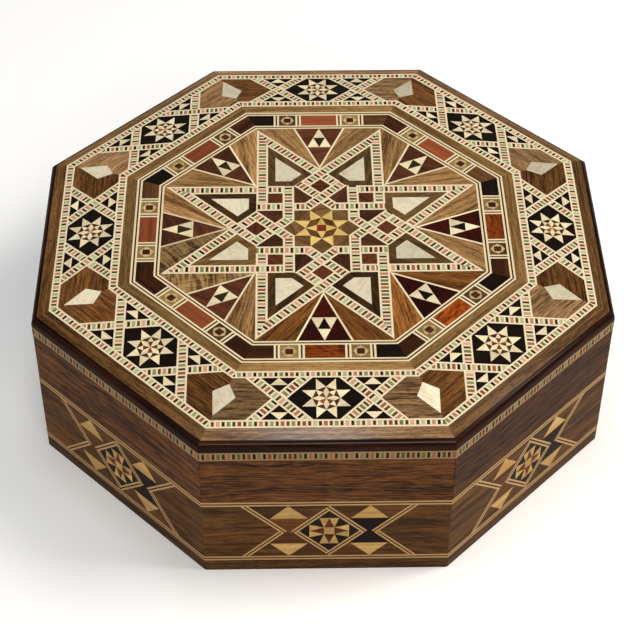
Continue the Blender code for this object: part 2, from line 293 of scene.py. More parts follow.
def woodFinish(name, look, onObject=False):
    recipe = Recipe(name)
    if onObject:
        place = recipe.node("ShaderNodeTexCoord", output=3)
        along, across = recipe.parted(recipe.node("ShaderNodeMapping", sockets={
            "Vector": place, "Scale": (1000,) * 3}))
    else:
        along, across = recipe.grain()
    sway = recipe.noise(recipe.vector(along * 0.022, across * 0.05, 5.5), 1.0)
    across = across + (sway - 0.5) * look["wave"]
    swirl = look["swirl"]
    stretch = 0.10 if swirl else 0.014
    figure = recipe.noise(recipe.vector(along * stretch, across * 0.17, 3.1), 3.0, 0.55,
                          0.5 + swirl)
    lines = recipe.noise(recipe.vector(along * 0.012, across * 0.75, 7.7), 2.0, 0.5,
                         0.4 + swirl)
    fibre = recipe.noise(recipe.vector(along * 0.05, across * 3.0, 1.3), 3.0, 0.6)
    flecks = recipe.noise(recipe.vector(along * 0.12, across * 1.5, 6.6), 2.0, 0.6)
    pores = recipe.noise(recipe.vector(along * 0.38, across * 3.6, 9.2), 1.0, 0.5)
    figure = recipe.spread(figure, 0.34, 0.66)
    lines = recipe.spread(lines, 0.36, 0.64)
    flecks = recipe.spread(flecks, 0.36, 0.64)
    shade = (0.5 + (figure - 0.5) * look["figure"] + (lines - 0.5) * look["streak"]
             + (fibre - 0.5) * look["fibre"] + (flecks - 0.5) * look["fleck"])
    if look["curl"]:
        ripple = recipe.noise(recipe.vector(along * 0.7, across * 0.09, 4.4), 2.0, 0.5, 0.8)
        shade = shade + (recipe.spread(ripple, 0.35, 0.65) - 0.5) * look["curl"]
    colour = recipe.between(shade, (look["dark"], look["light"]))
    poreMask = recipe.spread(pores, 0.50, 0.74) * look["pores"]
    colour = recipe.mix(poreMask, colour, tint(look["pore"]))
    if onObject:
        recipe.feed("Specular IOR Level", 0.3)
    else:
        vary = look["vary"]
        colour = recipe.value(colour, recipe.tone() * vary + (1 - vary / 2))
        recipe.lacquer(*look["coat"])
    recipe.finish(colour, fibre * 0.2 + 0.4, fibre - poreMask, look["bump"], 0.0002)


for woodName, woodLook in woodLooks.items():
    woodFinish(woodName, woodLook, woodName == "plainWood")

# strips of tiny tiles, in the order dark, red, dark, green between pale lines
tileLooks = {
    "darkHalf": 0.29,  # half of a tile's length, as a share of the step to the next
    "brightHalf": 0.35,
    "cream": ((252, 236, 202), (226, 202, 160)),
    "dark": ((30, 19, 8), (92, 72, 36)),
    "red": ((222, 168, 138), (146, 66, 44)),
    "green": ((190, 194, 144), (106, 112, 66)),
    "glue": (90, 64, 40),
}
# edge is the pale border on each side as a share of the strip's width
stripLooks = {
    "starMosaic": dict(edge=0.185, pitch=2.2, coat=0.6),
    "crossMosaic": dict(edge=0.19, pitch=2.1, coat=0.6),
    "ringMosaic": dict(edge=0.215, pitch=2.17, coat=0.6),
    "sideMosaic": dict(edge=0.15, pitch=2.06, coat=0.12, aged=((172, 156, 138), (186, 164, 124))),
}


def mosaicFinish(name, look):
    recipe = Recipe(name)
    along, across = recipe.grain()
    tone = recipe.tone()
    steps = along / look["pitch"]
    number = steps.floor()
    part = steps - number
    kind = number % 4.0
    isDark = (kind % 2.0) < 0.5
    isGreen = kind > 2.5
    first = recipe.chance(number * 1.37 + tone * 91.0)
    second = recipe.chance(number * 2.91 + tone * 57.0)
    dark = recipe.between(first, tileLooks["dark"])
    red = recipe.between(second, tileLooks["red"])
    green = recipe.between(first, tileLooks["green"])
    tile = recipe.mix(isDark, recipe.mix(isGreen, red, green), dark)
    grain = recipe.noise(recipe.vector(along * 0.25, across * 14.0, tone * 9.0), 2.0)
    pale = recipe.between(grain, tileLooks["cream"])
    half = tileLooks["brightHalf"] - isDark * (tileLooks["brightHalf"] - tileLooks["darkHalf"])
    inTile = (abs(part - 0.5) < half) * (abs(across - 0.5) < 0.5 - look["edge"])
    joint = (abs(abs(across - 0.5) - (0.5 - look["edge"])) < 0.02) * 0.35
    if "aged" in look:
        # the strip under the rim is darker than the lid's strips, its tiles more than its pale
        # borders
        pale = recipe.mix(1.0, pale, tint(look["aged"][0]), "MULTIPLY")
        tile = recipe.mix(1.0, tile, tint(look["aged"][1]), "MULTIPLY")
    colour = recipe.mix(inTile, pale, tile)
    colour = recipe.mix(joint, colour, tint(tileLooks["glue"]))
    recipe.lacquer(look["coat"], topCoat[1])
    recipe.finish(colour, grain * 0.15 + 0.38, grain)


for stripName, stripLook in stripLooks.items():
    mosaicFinish(stripName, stripLook)

# pale, dark and pale lines laid together; v runs 0 to 1 across them
lineLooks = {
    "stringLines": dict(pale=((250, 232, 194), (224, 198, 152)),
                        dark=((70, 46, 26), (24, 14, 8)), coat=0.6),
    "sideLines": dict(pale=((212, 172, 116), (170, 131, 82)),
                      dark=((58, 35, 20), (24, 14, 8)), coat=0.15),
}


def lineFinish(name, look):
    recipe = Recipe(name)
    along, across = recipe.grain()
    grain = recipe.noise(recipe.vector(along * 0.12, across * 9.0, 2.0), 3.0)
    pale = recipe.between(grain, look["pale"])
    dark = recipe.between(grain * 0.5, look["dark"])
    colour = recipe.mix(abs(across - 0.5) < 0.15, pale, dark)
    recipe.lacquer(look["coat"], topCoat[1])
    recipe.finish(colour, grain * 0.15 + 0.38, grain)


for lineName, lineLook in lineLooks.items():
    lineFinish(lineName, lineLook)

# mother-of-pearl: cloudy growth layers that turn from cream to rose, green and grey
pearlPlay = [(0.0, (206, 184, 148)), (0.28, (234, 214, 178)), (0.5, (246, 232, 204)),
             (0.68, (224, 216, 180)), (0.85, (240, 216, 192)), (1.0, (208, 203, 188))]


def shellFinish(name):
    recipe = Recipe(name)
    along, across = recipe.grain()
    tone = recipe.tone()
    cloud = recipe.noise(recipe.vector(along * 0.11, across * 0.16, tone * 20.0), 3.0, 0.5, 0.8)
    layers = recipe.noise(recipe.vector(along * 0.10, across * 0.9, tone * 40.0), 3.0, 0.6,
                          1.2)
    play = recipe.node("ShaderNodeValToRGB", {"stops": pearlPlay}, {
        0: recipe.spread(cloud * 0.6 + layers * 0.4, 0.28, 0.72)})
    recipe.feed("Metallic", layers * 0.2)
    recipe.lacquer(*topCoat)
    recipe.finish(recipe.value(play, tone * 0.6 + 0.62), layers * 0.25 + 0.15, layers, 0.15,
                  0.0003)


shellFinish("pearl")
print("finishes made")


# drawing flat boards of veneer and cutting them along lines, all in millimetres
drawing = {
    "snap": 0.002,  # a cut keeps to a corner this near
    "weld": 0.004,
    "onEdge": 0.02,  # a line this near an edge runs along it and cuts nothing
    "shortest": 0.05,
}


def turned(point, angle):
    x, y = point
    return (x * math.cos(angle) - y * math.sin(angle), x * math.sin(angle) + y * math.cos(angle))


def meeting(firstAngle, firstDistance, secondAngle, secondDistance):
    # where two lines cross, each told by the way it faces and its distance from the middle
    spread = math.sin(secondAngle - firstAngle)
    x = firstDistance * math.sin(secondAngle) - secondDistance * math.sin(firstAngle)
    y = secondDistance * math.cos(firstAngle) - firstDistance * math.cos(secondAngle)
    return (x / spread, y / spread)


def cornerOf(apothem, k):
    # corner of an octagon between side k and the next
    return turned((apothem / math.cos(halfStep), 0.0), sideAngles[k] + halfStep)


def sideOf(x, y):
    # number of the side that a point on the lid belongs to, and its distance out towards it
    reaches = [x * math.cos(a) + y * math.sin(a) for a in sideAngles]
    return reaches.index(max(reaches)), max(reaches)


def topHeight(apothem):
    # height of the lid's surface on the line square to a side
    start, bend, end = boxSize["slopeStart"], boxSize["frameStart"], boxSize["apothem"]
    onField = min(max(0.0, apothem - start), bend - start) / (bend - start)
    onFrame = max(0.0, apothem - bend) / (end - bend)
    return boxSize["lidTop"] - boxSize["fieldFall"] * onField - boxSize["frameFall"] * onFrame


def within(x, y, corners):
    # true inside a convex outline, whichever way round it is told
    turns = set()
    for (ax, ay), (bx, by) in zip(corners, corners[1:] + corners[:1]):
        turns.add((bx - ax) * (y - ay) - (by - ay) * (x - ax) > 0)
    return len(turns) == 1


def mirrored(corners):
    return [(-x, y) for x, y in reversed(corners)]


def newBoard(corners=()):
    board = bmesh.new()
    board.loops.layers.uv.new("grain")
    board.faces.layers.float.new("tone")
    if corners:
        board.faces.new([board.verts.new((x, y, 0.0)) for x, y in corners])
    return board


def lengthInside(face, start, end):
    # how much of a line lies inside a convex face, and not along its edge
    low, high = 0.0, 1.0
    runX, runY = end[0] - start[0], end[1] - start[1]
    sides = []
    for loop in face.loops:
        here, after = loop.vert.co, loop.link_loop_next.vert.co
        edgeX, edgeY = after.x - here.x, after.y - here.y
        length = math.hypot(edgeX, edgeY)
        first = (edgeX * (start[1] - here.y) - edgeY * (start[0] - here.x)) / length
        change = (edgeX * runY - edgeY * runX) / length
        sides.append((first, change))
        if abs(change) < 0.000001:
            if first < drawing["onEdge"]:
                return 0.0
        elif change > 0:
            low = max(low, -first / change)
        else:
            high = min(high, -first / change)
    if high <= low:
        return 0.0
    for first, change in sides:
        if max(first + change * low, first + change * high) < drawing["onEdge"]:
            return 0.0
    return (high - low) * math.hypot(runX, runY)


def drawLine(board, start, end):
    across = Vector((start[1] - end[1], end[0] - start[0], 0.0)).normalized()
    for face in board.faces[:]:
        if lengthInside(face, start, end) > drawing["shortest"]:
            geometry = [face] + list(face.edges) + list(face.verts)
            bmesh.ops.bisect_plane(board, geom=geometry, dist=drawing["snap"],
                                   plane_co=(start[0], start[1], 0.0), plane_no=across)


def drawShape(board, corners):
    for start, end in zip(corners, corners[1:] + corners[:1]):
        drawLine(board, start, end)


def aroundLid(board):
    # carries one sector's drawing round the eight sides
    bmesh.ops.spin(board, geom=board.verts[:] + board.edges[:] + board.faces[:],
                   cent=(0, 0, 0), axis=(0, 0, 1), angle=eighth * 7, steps=7,
                   use_duplicate=True)
    bmesh.ops.remove_doubles(board, verts=board.verts, dist=drawing["weld"])


def wood(finish, angle=0.0, key="", origin=(0.0, 0.0), breadth=0.0, tone=None):
    return finish, angle, key, origin, breadth, tone


def boardLuck(key):
    # every board has its own stretch of grain and its own tone, told by its key
    luck = random.Random(key)
    return luck, luck.uniform(0, 400)


def layVeneer(board, pick):
    # pick tells which wood lies at a point and which way it runs, or None for a hole
    grain = board.loops.layers.uv["grain"]
    tone = board.faces.layers.float["tone"]
    woods = []
    holes = []
    for face in board.faces:
        middle = face.calc_center_median()
        found = pick(middle.x, middle.y)
        if found is None:
            holes.append(face)
            continue
        finish, angle, key, origin, breadth, shade = found
        if finish not in woods:
            woods.append(finish)
        face.material_index = woods.index(finish)
        luck, shiftAlong = boardLuck(key)
        shiftAcross = luck.uniform(0, 400)
        face[tone] = luck.random() if shade is None else shade
        for loop in face.loops:
            x, y = turned((loop.vert.co.x - origin[0], loop.vert.co.y - origin[1]), -angle)
            y = y / breadth if breadth else y + shiftAcross
            loop[grain].uv = (x + shiftAlong, y)
    bmesh.ops.delete(board, geom=holes, context="FACES")
    return woods


def thicken(board):
    lower = board.verts[:]  # the old corners sink, and the new faces stay on top
    bmesh.ops.extrude_face_region(board, geom=board.faces[:])
    lower = [vert for vert in lower if vert.is_valid]
    bmesh.ops.translate(board, verts=lower, vec=(0, 0, -boxSize["sheet"]))


def placePiece(board, node, woods, smooth=0.0):
    # the piece is named like the node that it stands for, in camelCase
    first, *others = node.split("_")
    name = first + "".join(other.capitalize() for other in others)
    bmesh.ops.scale(board, vec=(0.001,) * 3, verts=board.verts)
    bmesh.ops.recalc_face_normals(board, faces=board.faces)
    mesh = bpy.data.meshes.new(name)
    for finish in woods:
        mesh.materials.append(finishes[finish])
    board.to_mesh(mesh)
    board.free()
    if smooth:
        mesh.shade_smooth()
        mesh.set_sharp_from_angle(angle=smooth)
    piece = bpy.data.objects.new(name, mesh)
    bpy.context.scene.collection.objects.link(piece)
    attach(piece, "root")
    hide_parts(node)


def layOnLid(board, pick, node, shift=0.0, turn=0.0):
    # a board that was drawn round its own middle is shifted to the front and turned to its side
    woods = layVeneer(board, pick)
    bmesh.ops.translate(board, verts=board.verts, vec=(0, -shift, 0))
    bmesh.ops.rotate(board, verts=board.verts, cent=(0, 0, 0),
                     matrix=Matrix.Rotation(turn, 3, "Z"))
    for vert in board.verts:
        vert.co.z += topHeight(sideOf(vert.co.x, vert.co.y)[1])
    thicken(board)
    placePiece(board, node, woods)


# the woven star: eight kite-shaped loops of mosaic strap, over and under each other
starPlan = {
    "field": 71.1,  # middle of the lid to the star's edge
    "margin": 0.3,
    "strap": 5.2,
    "shellMargin": 3.4,  # width of the ground round each shell
    "centreSquare": 2.1,
    # corners of small pieces in front of the middle: square, kite beside it and ground of shell
    "redSquare": [(0, -24.4), (4.8, -29.15), (0, -33.9), (-4.8, -29.15)],
    "darkKite": [(7.1, -17.2), (3.6, -20.8), (12.1, -29.2), (12.1, -17.2)],
    "ground": [(3.6, -37.6), (24, -58), (24, -29.1), (12, -29.1)],
    "dartOuter": 12.2,  # half width of a dart's outline at the edge of the star
    "dartInner": 11.2,
    "dartNose": 43.4,
    "dartWaist": 57.2,
    "wedgeLean": 0.62,  # how far a wedge's grain leans towards the point beside it
    "curly": ((6, True), (7, False)),  # side and half of the wedges with curly figure
    "amber": (0, 1),  # sides with wedges of a redder walnut
    "paleGrounds": (1, 2, 3, 4, 6),  # points whose shell lies in a paler walnut
    # how pale the woods are round the star, from the front towards the right: the two wedges
    # of each side, the ground round each shell, and the shells
    "wedges": ((0.3, 0.2), (0.8, 0.2), (0.3, 0.4), (0.3, 0.2), (0.1, 0.2), (0.8, 0.1),
               (0.9, 0.1), (0.6, 0.3)),
    "grounds": (0.1, 0.0, 0.4, -0.1, 0.1, 0.5, 0.7, 1.1),
    "shells": (0.5, 0.3, 0.6, 0.4, 0.4, 0.7, 0.5, 0.6),
    # the darts between the points: their sides, then their nose
    "darts": ((0.0, 0.9), (-0.3, 0.0), (0.1, 0.6), (0.0, 0.3), (1.2, 1.9), (-0.7, 0.1),
              (-0.7, 0.9), (0.6, 0.5)),
}
longLine = starPlan["field"] * math.tan(halfStep) - starPlan["margin"]
shortLine = longLine * math.tan(halfStep)
kiteSides = [(0.0, longLine), (quarter, -shortLine), (3 * eighth, -shortLine),
             (-3 * eighth, longLine)]


def kiteLoop(k, inset):
    lines = [(angle, distance - inset) for angle, distance in kiteSides]
    return [turned(meeting(*one, *two), eighth * k)
            for one, two in zip(lines, lines[1:] + lines[:1])]


def strapAt(x, y):
    found = []
    for k in range(8):
        px, py = turned((x, y), -eighth * k)
        gaps = [distance - px * math.cos(angle) - py * math.sin(angle)
                for angle, distance in kiteSides]
        if 0 < min(gaps) < starPlan["strap"]:
            found.append((k, gaps.index(min(gaps))))
    if len(found) == 2:
        if (found[0][0] + 1) % 8 != found[1][0]:
            found.reverse()
        # a loop's long first side lies over its neighbour, its short first side under
        return found[0] if found[0][1] == 0 else found[1]
    return found[0] if found else None


def makeStar():
    plan = starPlan
    field, waist, nose = plan["field"], plan["dartWaist"], plan["dartNose"]
    inner = shortLine * math.sqrt(2)
    step = inner - shortLine
    square = [(0, -inner), (step, -shortLine), (0, step - shortLine), (-step, -shortLine)]
    ray = [(step, -shortLine), (step, -step), (0, step - shortLine)]
    outer, innerHalf = plan["dartOuter"], plan["dartInner"]
    tip = longLine * math.sqrt(2)
    dartOutline = [(0, -tip), (-outer, -field), (outer, -field)]
    dart = [(0, -nose), (-innerHalf, -field), (innerHalf, -field)]
    half = innerHalf * (waist - nose) / (field - nose)
    low = (waist + field) / 2
    crown = [(-half, -waist), (0, -field), (half, -waist)]
    heart = [(0, -waist), (-half / 2, -low), (half / 2, -low)]
    paleTips = [[(-half, -waist), (-half / 2, -low), (0, -waist)],
                [(0, -waist), (half / 2, -low), (half, -waist)],
                [(-half / 2, -low), (0, -field), (half / 2, -low)]]
    shell = starShell()
    centreHalf = plan["centreSquare"]
    reach = shortLine - step
    centreTip = [(-centreHalf, -centreHalf), (0, -reach), (centreHalf, -centreHalf)]

    board = newBoard([(0, 0), cornerOf(field, 7), cornerOf(field, 0)])
    for k in range(8):
        for inset in (0.0, plan["strap"]):
            drawShape(board, kiteLoop(k, inset))
    lastShell = [turned(point, -eighth) for point in shell]
    for shape in (square, dartOutline, dart, crown, heart, ray, mirrored(ray), shell, lastShell):
        drawShape(board, shape)
    aroundLid(board)
    for k in range(4):
        drawShape(board, [turned(point, quarter * k) for point in centreTip])

    def pick(x, y):
        strap = strapAt(x, y)
        if strap:
            k, side = strap
            angle = kiteSides[side][0] + eighth * k
            distance = kiteSides[side][1]
            origin = (distance * math.cos(angle), distance * math.sin(angle))
            return wood("starMosaic", angle + quarter, f"strap {k} {side}", origin,
                        plan["strap"])
        if abs(x) < centreHalf and abs(y) < centreHalf:
            return wood("centreRed", 0.3, "centre")
        for k in range(8):
            px, py = turned((x, y), -eighth * k)
            angle = eighth * k
            if within(px, py, shell):
                return None
            if within(px, py, square):
                return wood("squareWalnut", angle + 0.3, f"square {k}")
            if within(px, py, ray):
                return wood("yellowWood", angle + 1.9, f"ray {k}")
            if within(px, py, plan["redSquare"]):
                return wood("redSquare", angle, f"red square {k}")
            if within(px, py, plan["darkKite"]):
                return wood("darkKite", angle - eighth * 1.5, f"dark kite {k}")
            if within(px, py, plan["ground"]):
                pale = k in plan["paleGrounds"]
                return wood("groundPale" if pale else "groundWalnut", angle - eighth * 1.5,
                            f"ground {k}", tone=plan["grounds"][k])
            if k % 2 == 0 and within(px, py, centreTip):
                return wood("yellowWood", angle + quarter, f"centre tip {k}")
            if within(px, py, dartOutline):
                if not within(px, py, dart):
                    lean = math.atan2(tip - field, outer) * (1 if px > 0 else -1)
                    return wood("cream", angle + lean, f"dart line {k} {px > 0}")
                if within(px, py, heart):
                    return wood("ebony" if k < 3 else "heartBrown", angle, f"heart {k}")
                for number, pale in enumerate(paleTips):
                    if within(px, py, pale):
                        return wood("cream", angle + 0.4 * number, f"pale {k} {number}")
                return wood("redWood" if k < 3 else "duskyRed", angle + 0.3,
                            f"dart {k} {py > -waist} {px > 0}",
                            tone=plan["darts"][k][py > -waist])
        k, far = sideOf(x, y)
        if far < reach + 0.1:
            return wood("goldWalnut", eighth * k, f"centre kite {k} {x > 0} {y > 0}")
        px = turned((x, y), -eighth * k)[0]
        lean = quarter + (plan["wedgeLean"] if px > 0 else -plan["wedgeLean"])
        finish = "wedgeWalnut"
        if (k, px > 0) in plan["curly"]:
            finish = "curlyWalnut"
        elif k in plan["amber"]:
            finish = "amberWalnut"
        return wood(finish, eighth * k + lean, f"wedge {k} {px > 0}",
                    tone=plan["wedges"][k][px > 0])

    layOnLid(board, pick, "star_panel")
    for k in range(8):
        kite = newBoard([turned(point, eighth * k) for point in shell])
        pearl = wood("pearl", eighth * k + 0.9, f"star shell {k}", tone=plan["shells"][k])
        layOnLid(kite, lambda x, y: pearl, f"star_shell_{k + 1}")


def starShell():
    # kite of shell in the point of the star that lies right of the front
    longSide = longLine - starPlan["strap"] - starPlan["shellMargin"]
    shortSide = longLine + starPlan["shellMargin"]
    wide = 3 * halfStep
    heel = meeting(halfStep, shortSide, -halfStep, shortSide)
    lower = meeting(-wide, longSide, halfStep, shortSide)
    tip = meeting(wide, longSide, -wide, longSide)
    upper = meeting(wide, longSide, -halfStep, shortSide)
    return [turned(point, front + halfStep) for point in (heel, lower, tip, upper)]


makeStar()
print("star made")

# bands round the star, from the inside out, all mitred at the corners
bandPlan = {
    "inner_stringing": (71.1, 73.5, "stringing"),
    "tile_border": (73.5, 81.2, "tile_marquetry"),
    "outer_stringing": (81.2, 83.6, "stringing"),
    "lid_inner_frame": (83.6, 88.5, "frame_walnut"),
    "lid_inner_mosaic": (88.5, 92.4, "mosaic"),
    "lid_outer_mosaic": (113.5, 117.4, "mosaic"),
}
tilePlan = {
    "burr": 8.4,  # half length of the orange piece in the middle of a side
    "square": 11.0,
    "squareEnd": 18.8,
    "block": 21.3,
    "eye": 1.65,
    "petal": 3.2,
    "petalWaist": 2.75,
    "burrTones": (0.1, 0.8, 0.1, 0.9, 0.9, 0.4, 0.3, 0.4),
    # the left and the right block of each side
    "blocks": (("rosewood", "ebony"), ("rosewood", "ebony"), ("rosewood", "ebony"),
               ("blockBrown", "rosewood"), ("blockBrown", "ebony"), ("rosewood", "ebony"),
               ("blockBrown", "rosewood"), ("rosewood", "rosewood")),
    "frameTones": (0.9, 0.3, 0.5, 0.5, 0.7, 0.3, 0.2, 0.1),  # how pale the inner frame is
}


def tileShapes():
    # lines across the tile border of the front side, and the eye of its right square
    plan = tilePlan
    inner, outer = bandPlan["tile_border"][:2]
    lines = [[(x, -inner), (x, -outer)]
             for edge in ("burr", "square", "squareEnd", "block")
             for x in (plan[edge], -plan[edge])]
    middle = ((plan["square"] + plan["squareEnd"]) / 2, -(inner + outer) / 2)
    ring = [turned((plan["petal"] if k % 2 == 0 else plan["petalWaist"], 0), eighth * k)
            for k in range(8)]
    ring = [(middle[0] + x, middle[1] + y) for x, y in ring]
    eye = [(middle[0] + x * plan["eye"], middle[1] + y * plan["eye"])
           for x, y in ((-1, -1), (1, -1), (1, 1), (-1, 1))]
    return lines, ring, eye


def tileWood(k, x, y):
    plan = tilePlan
    angle = eighth * k
    side = "right" if x > 0 else "left"
    if abs(x) < plan["burr"]:
        return wood("burr" if k < 3 else "brickWood", angle, f"burr {k}",
                    tone=plan["burrTones"][k])
    if abs(x) < plan["square"] or plan["squareEnd"] < abs(x) < plan["block"]:
        start = plan["burr"] if abs(x) < plan["square"] else plan["squareEnd"]
        breadth = (plan["square"] - plan["burr"] if abs(x) < plan["square"]
                   else plan["block"] - plan["squareEnd"])
        start = start if x > 0 else -start - breadth
        origin = turned((start, 0.0), angle)
        return wood("stringLines", angle - quarter, f"line {k} {x // 1}", origin, breadth)
    if abs(x) < plan["squareEnd"]:
        lines, ring, eye = tileShapes()
        if within(abs(x), y, eye):
            return wood("darkKite", angle, f"eye {k} {side}")
        if within(abs(x), y, ring):
            return wood("petalCream", angle, f"petals {k} {side}")
        darkTile = (k + (x > 0)) % 3 == 2 or (k == 1 and x > 0)
        return wood("brownTile" if darkTile else "oliveTile", angle, f"tile {k} {side}")
    return wood(plan["blocks"][k][x > 0], angle, f"block {k} {side}")


def makeBands():
    for node, (inner, outer, slot) in bandPlan.items():
        board = newBoard([cornerOf(inner, 0), cornerOf(inner, 7), cornerOf(outer, 7),
                          cornerOf(outer, 0)])
        if node == "tile_border":
            lines, ring, eye = tileShapes()
            for start, end in lines:
                drawLine(board, start, end)
            for shape in (ring, mirrored(ring), eye, mirrored(eye)):
                drawShape(board, shape)
        aroundLid(board)

        def pick(x, y):
            k = sideOf(x, y)[0]
            angle = sideAngles[k]
            origin = (outer * math.cos(angle), outer * math.sin(angle))
            along = angle + quarter
            if node == "tile_border":
                return tileWood(k, *turned((x, y), -eighth * k))
            if node == "lid_inner_frame":
                return wood("innerFrameWalnut", along, f"inner frame {k}",
                            tone=tilePlan["frameTones"][k])
            finish = "ringMosaic" if slot == "mosaic" else "stringLines"
            return wood(finish, along, f"{node} {k}", origin, outer - inner)

        layOnLid(board, pick, node)


makeBands()
print("bands made")

# bevelled field: crossed straps with a rosette, and walnut corners with a kite of shell
fieldPlan = {
    "inner": 92.4,
    "outer": 113.5,
    "cross": 19.2,  # middle of a side to where its straps cross
    "strap": 4.6,
    "rosette": 4.1,  # distance of the star's lines from the rosette's middle
    "flower": 3.3,
    "brown": 6.15,  # the star's grounds are brown inside this distance and black outside it
    "shellInner": 3.1,  # from the field's inner corner to the kite of shell
    "shellOuter": 2.6,
    "shellShoulder": 5.5,  # from the kite's inner tip to its widest place
    "shellWidth": 10.2,
    # the wood and its tone in the two halves of each corner, then the tone of the shell, which is
    # lower towards the back partly as painted shade
    "corners": (
        ("fieldWalnut", 0.6, "fieldAmber", 0.6, 1.0), ("fieldWalnut", 0.9, "fieldAmber", 0.1, 0.3),
        ("fieldAmber", 0.2, "fieldWalnut", 1.0, 0.1), ("fieldAmber", 0.5, "fieldWalnut", 0.7, 0.1),
        ("fieldAmber", 0.7, "fieldWalnut", 1.8, 0.3), ("fieldWalnut", 1.9, "fieldAmber", 0.5, 0.6),
        ("fieldAmber", 0.7, "fieldAmber", 0.9, 0.8), ("fieldAmber", 0.1, "fieldWalnut", 0.1, 0.4),
    ),
}
fieldMiddle = (fieldPlan["inner"] + fieldPlan["outer"]) / 2
fieldReach = (fieldPlan["outer"] - fieldPlan["inner"]) / 2
strapReach = fieldPlan["strap"] / math.sqrt(2)  # half a strap, measured along a side
notch = fieldPlan["cross"] + strapReach


def rosetteShapes():
    # one quarter of the drawing, round the rosette's middle, y pointing to the lid's middle
    cross, reach, line = fieldPlan["cross"], fieldReach, fieldPlan["rosette"]
    inside, outside = cross - strapReach, cross + strapReach
    straps = [[(inside, 0), (inside + reach, reach)], [(inside, 0), (inside - reach, reach)],
              [(outside, 0), (outside + reach, reach)], [(outside, 0), (outside - reach, reach)]]
    half = reach - strapReach
    middle = (reach + strapReach) / 2
    cap = [(cross, reach), (cross - half / 2, middle), (cross + half / 2, middle)]
    tip = line / math.cos(3 * halfStep)
    knot = line * math.sqrt(2)
    rays = [[(line, line), turned((tip, 0), 3 * halfStep), (0, knot)],
            [(knot, 0), turned((tip, 0), halfStep), (line, line)]]
    inner = [turned((fieldPlan["flower"], 0), halfStep), turned((fieldPlan["flower"], 0),
             3 * halfStep)]
    petals = [[(0, 0), inner[1], (0, knot)], [(0, 0), (knot, 0), inner[0]]]
    bud = [inner[0], (line, line), inner[1]]
    core = [(0, 0), inner[0], inner[1]]
    return straps, cap, rays, petals, bud, core


def makeRosette(k):
    cross, reach = fieldPlan["cross"], fieldReach
    straps, cap, rays, petals, bud, core = rosetteShapes()
    edge = notch + reach
    board = newBoard([(0, 0), (edge, 0), (edge, reach), (0, reach)])
    for start, end in straps:
        drawLine(board, start, end)
    for shape in (cap, bud, core, *rays, *petals):
        drawShape(board, shape)
    for axis in ("X", "Y"):
        bmesh.ops.mirror(board, geom=board.verts[:] + board.edges[:] + board.faces[:],
                         matrix=Matrix.Identity(4), merge_dist=drawing["weld"], axis=axis)
    bmesh.ops.recalc_face_normals(board, faces=board.faces)
    if sum(face.normal.z for face in board.faces) < 0:
        bmesh.ops.reverse_faces(board, faces=board.faces)

    def pick(x, y):
        side, up = abs(x), abs(y)
        ends = f"{x > 0} {y > 0}"
        if side > notch + up:
            return None
        middle = cross if x > 0 else -cross
        down, rise = x + y - middle, x - y - middle  # across each of the two straps
        width = fieldPlan["strap"]
        if abs(down) < strapReach:
            origin = (middle - strapReach, 0)
            return wood("crossMosaic", -eighth, f"fall {k} {x > 0}", origin, width)
        if abs(rise) < strapReach:
            origin = (middle + strapReach, 0)
            return wood("crossMosaic", eighth, f"rise {k} {x > 0}", origin, width)
        if side > cross - strapReach + up:
            return None
        for number, ray in enumerate(rays):
            if within(side, up, ray):
                return wood("cream", 0.5 * number, f"ray {k} {number} {ends}")
        if within(side, up, bud):
            return wood("cream", 0.8, f"bud {k} {ends}")
        if within(side, up, core):
            return wood("petalBrown", 0.4, f"core {k} {ends}")
        for number, petal in enumerate(petals):
            if within(side, up, petal):
                return wood("cream", quarter * number, f"petal {k} {number} {ends}")
        if math.hypot(side, up) < fieldPlan["brown"]:
            return wood("darkKite", 0.2, f"flower {k} {ends}")
        if within(side, up, cap):
            return wood("cream", 0.0, f"cap {k} {ends}")
        return wood("ebony", 0.1, f"black {k} {ends} {side // 9}")

    layOnLid(board, pick, f"rosette_panel_{k + 1}", fieldMiddle, eighth * k)


def makeCorner(k):
    # kite between two sides' crossed straps, drawn on the line from the middle to the corner
    side = turned((fieldMiddle, notch), -halfStep)
    inward = turned((-1.0, 1.0), -halfStep)
    outward = turned((1.0, 1.0), -halfStep)
    innerTip = side[0] - side[1] * inward[0] / inward[1]
    outerTip = side[0] - side[1] * outward[0] / outward[1]
    start = fieldPlan["inner"] / math.cos(halfStep) + fieldPlan["shellInner"]
    end = fieldPlan["outer"] / math.cos(halfStep) - fieldPlan["shellOuter"]
    shoulder, half = start + fieldPlan["shellShoulder"], fieldPlan["shellWidth"] / 2
    shell = [(start, 0), (shoulder, -half), (end, 0), (shoulder, half)]
    angle = sideAngles[k] + halfStep
    shell = [turned(point, angle) for point in shell]
    outline = [(innerTip, 0), side, (outerTip, 0), (side[0], -side[1])]
    board = newBoard([turned(point, angle) for point in outline])
    ridge = turned((innerTip, 0), angle), turned((outerTip, 0), angle)  # the lid bends here
    drawLine(board, *ridge)
    for apothem in (fieldPlan["inner"], fieldPlan["outer"]):
        for number in (k - 1, k):
            drawLine(board, cornerOf(apothem, number % 8), cornerOf(apothem, (number + 1) % 8))
    drawShape(board, shell)

    ownWood, ownTone, nextWood, nextTone, shellTone = fieldPlan["corners"][k]

    def pick(x, y):
        number, far = sideOf(x, y)
        if not fieldPlan["inner"] < far < fieldPlan["outer"] or within(x, y, shell):
            return None
        finish, shade = (ownWood, ownTone) if number == k else (nextWood, nextTone)
        return wood(finish, sideAngles[number] + quarter, f"corner {k} {number}", tone=shade)

    layOnLid(board, pick, f"corner_field_{k + 1}")
    kite = newBoard(shell)
    drawLine(kite, *ridge)
    pearl = wood("pearl", angle + 0.7, f"corner shell {k}", tone=shellTone)
    layOnLid(kite, lambda x, y: pearl, f"corner_shell_{k + 1}")


for sector in range(8):
    makeRosette(sector)
    makeCorner(sector)
print("field made")

